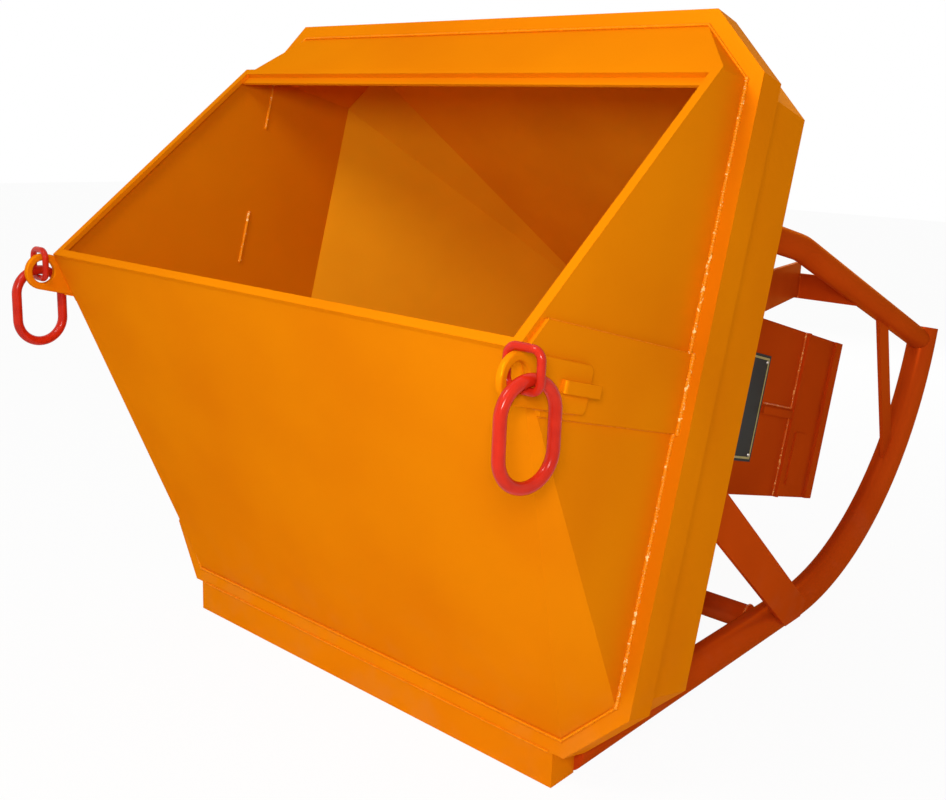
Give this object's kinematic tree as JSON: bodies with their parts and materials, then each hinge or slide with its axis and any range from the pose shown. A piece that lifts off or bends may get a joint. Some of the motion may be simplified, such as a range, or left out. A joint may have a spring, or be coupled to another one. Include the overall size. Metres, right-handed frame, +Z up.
{
  "type": "concrete silo",
  "caption": "Lay-down concrete silo: octagonal steel tank with a sloped filling mouth, a funnel behind it, a geared jaw gate in a casing, bent tube rails and two lifting rings",
  "frame": {"origin": "middle of the sill's underside, on the ground", "axes": "+Z up, +Y from the filling mouth towards the discharge, +X to the right"},
  "size_m": [1.4084, 2.1387, 1.397],
  "materials": {
    "tank_orange": "glossy orange paint",
    "ring_red": "red powder coat",
    "gate_steel": "worn bare steel",
    "grip_rubber": "matt black sleeve"
  },
  "bodies": {
    "silo": {"casing_bottom": "tank_orange", "casing_cover": "tank_orange", "casing_rib_left": "tank_orange", "casing_rib_right": "tank_orange", "casing_side_left": "tank_orange", "casing_side_right": "tank_orange", "casing_top": "tank_orange", "cross_bar": "tank_orange", "diagonal_left": "tank_orange", "diagonal_right": "tank_orange", "flange_band": "tank_orange", "foot_tube": "tank_orange", "front_plate": "tank_orange", "funnel_bottom": "tank_orange", "funnel_left": "tank_orange", "funnel_lower_left": "tank_orange", "funnel_lower_right": "tank_orange", "funnel_right": "tank_orange", "funnel_top": "tank_orange", "funnel_upper_left": "tank_orange", "funnel_upper_right": "tank_orange", "lifting_lug_left": "tank_orange", "lifting_lug_right": "tank_orange", "lower_corner_left": "tank_orange", "lower_corner_right": "tank_orange", "mouth_rim": "tank_orange", "outlet_neck": "tank_orange", "rail_cap_left": "tank_orange", "rail_cap_right": "tank_orange", "rail_left": "tank_orange", "rail_right": "tank_orange", "side_plate_left": "tank_orange", "side_plate_right": "tank_orange", "sill_beam": "tank_orange", "sill_end_left": "tank_orange", "sill_end_right": "tank_orange", "stay_left": "tank_orange", "stay_right": "tank_orange", "strap_left": "tank_orange", "strap_right": "tank_orange", "tank_shell": "tank_orange", "top_plate": "tank_orange", "top_tube_left": "tank_orange", "top_tube_right": "tank_orange", "upright_left": "tank_orange", "upright_right": "tank_orange"},
    "link_left": {"link_left": "ring_red"},
    "link_right": {"link_right": "ring_red"},
    "ring_left": {"master_ring_left": "ring_red"},
    "ring_right": {"master_ring_right": "ring_red"},
    "jaw_left": {"jaw_left_lower_cheek": "gate_steel", "jaw_left_plate": "gate_steel", "jaw_left_upper_cheek": "gate_steel", "lever_arm": "tank_orange", "lever_grip": "grip_rubber"},
    "jaw_right": {"jaw_right_lower_cheek": "gate_steel", "jaw_right_plate": "gate_steel", "jaw_right_upper_cheek": "gate_steel"}
  },
  "joints": [
    {"name": "link_left_swing", "type": "hinge", "parent": "silo", "child": "link_left", "pos_m": [-0.658, -0.34305, 0.8687], "axis": [0, 0.9686, -0.2487], "range_deg": [0, 90]},
    {"name": "ring_left_swing", "type": "hinge", "parent": "link_left", "child": "ring_left", "pos_m": [-0.675, -0.34305, 0.8238], "axis": [1, 0, 0], "range_deg": [-60, 40]},
    {"name": "link_right_swing", "type": "hinge", "parent": "silo", "child": "link_right", "pos_m": [0.658, -0.34305, 0.8687], "axis": [0, 0.9686, -0.2487], "range_deg": [-90, 0]},
    {"name": "ring_right_swing", "type": "hinge", "parent": "link_right", "child": "ring_right", "pos_m": [0.68415, -0.34305, 0.8238], "axis": [1, 0, 0], "range_deg": [-60, 5]},
    {"name": "jaw_left_swing", "type": "hinge", "parent": "silo", "child": "jaw_left", "pos_m": [-0.08, 1.19374, 0.45657], "axis": [0, 0.2487, 0.9686], "range_deg": [0, 68]},
    {"name": "jaw_right_swing", "type": "hinge", "parent": "silo", "child": "jaw_right", "pos_m": [0.08, 1.19374, 0.45657], "axis": [0, 0.2487, 0.9686], "range_deg": [-68, 0]}
  ],
  "couplings": [
    {"joint": "jaw_right_swing", "follows": "jaw_left_swing", "ratio": -1}
  ]
}
